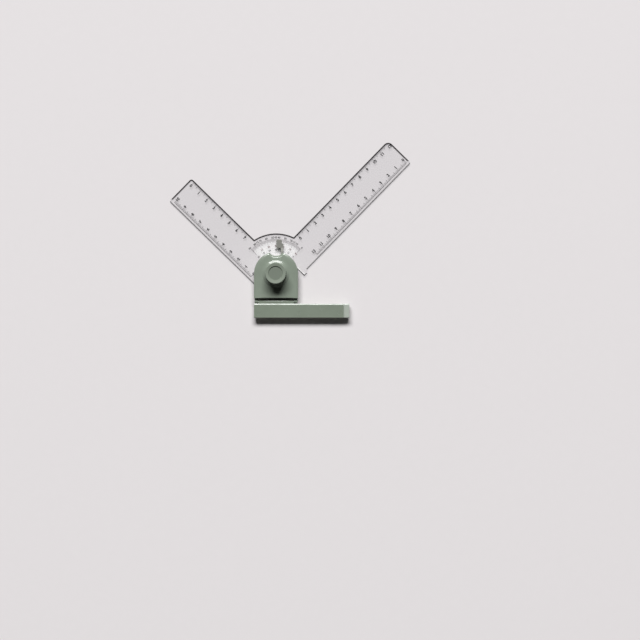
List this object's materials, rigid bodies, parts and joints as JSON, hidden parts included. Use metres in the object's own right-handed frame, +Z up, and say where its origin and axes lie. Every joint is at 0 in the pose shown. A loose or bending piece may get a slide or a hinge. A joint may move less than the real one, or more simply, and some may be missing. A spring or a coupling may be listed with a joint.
{
  "type": "adjustable drafting protractor",
  "caption": "Clear L-shaped rule with length and angle scales, turning on a hinged sage-green head with a clamp knob, on a slide rail for a straightedge.",
  "frame": {"origin": "the rule's pivot axis on the drawing surface, which is the underside of the clear rule", "axes": "+X along the slide rail to the right, +Y towards the sector with the angle scale, +Z up from the paper"},
  "size_m": [0.2253, 0.1644, 0.0247],
  "materials": {
    "sage_plastic": "moulded ABS with a fine satin texture",
    "pale_plastic": "pale moulded plastic",
    "lever_plastic": "grey green moulded plastic",
    "rail_screw_paint": "painted countersunk head",
    "clear_acrylic": "clear polished acrylic",
    "scale_ink": "black print",
    "steel": "plain turned steel",
    "spring_steel": "rolled spring strip",
    "brass": "turned brass",
    "nylon": "natural nylon",
    "fibre": "pressed fibre"
  },
  "bodies": {
    "rail": {"rail_body": "sage_plastic", "rail_end_cap": "pale_plastic", "runner_keel": "nylon", "runner_spring": "spring_steel", "rail_screws": "rail_screw_paint", "hinge_pin": "steel"},
    "head": {"head_cover": "sage_plastic", "head_base": "sage_plastic", "cover_screws": "steel", "click_spring": "spring_steel", "spring_screw": "steel", "lever_pin": "steel", "friction_washer": "fibre", "thrust_washer": "nylon"},
    "rule": {"angle_rule": "clear_acrylic", "length_scales": "scale_ink", "angle_scale": "scale_ink", "turntable": "sage_plastic", "detent_ring": "steel", "hub_bush": "brass", "rule_screws": "steel", "stop_pin": "steel"},
    "stud": {"clamp_stud": "steel", "stud_nut": "steel"},
    "knob": {"knob_body": "sage_plastic", "knob_insert": "brass", "knob_cap": "sage_plastic"},
    "lever": {"index_lever": "lever_plastic"}
  },
  "joints": [
    {"name": "head_tilt", "type": "hinge", "parent": "rail", "child": "head", "pos_m": [0, -0.0259, 0.0058], "axis": [1, 0, 0], "range_deg": [0, 95]},
    {"name": "rule_turn", "type": "hinge", "parent": "head", "child": "rule", "pos_m": [0, 0, 0], "axis": [0, 0, 1], "range_deg": [-45, 45], "deforming": ["click_spring"]},
    {"name": "knob_turn", "type": "hinge", "parent": "head", "child": "knob", "pos_m": [0, 0, 0.018], "axis": [0, 0, 1], "range_deg": [0, 180]},
    {"name": "stud_lift", "type": "slide", "parent": "head", "child": "stud", "axis": [0, 0, 1], "range_m": [-0.0004, 0]},
    {"name": "lever_rock", "type": "hinge", "parent": "head", "child": "lever", "pos_m": [0.0056, 0.0141, 0.0053], "axis": [-1, 0, 0], "range_deg": [0, 5], "stiffness_Nm_per_rad": 0.04, "springref_deg": -2.86, "deforming": ["click_spring"]}
  ],
  "couplings": [
    {"joint": "knob_turn", "follows": "stud_lift", "rad_per_m": -7854}
  ]
}
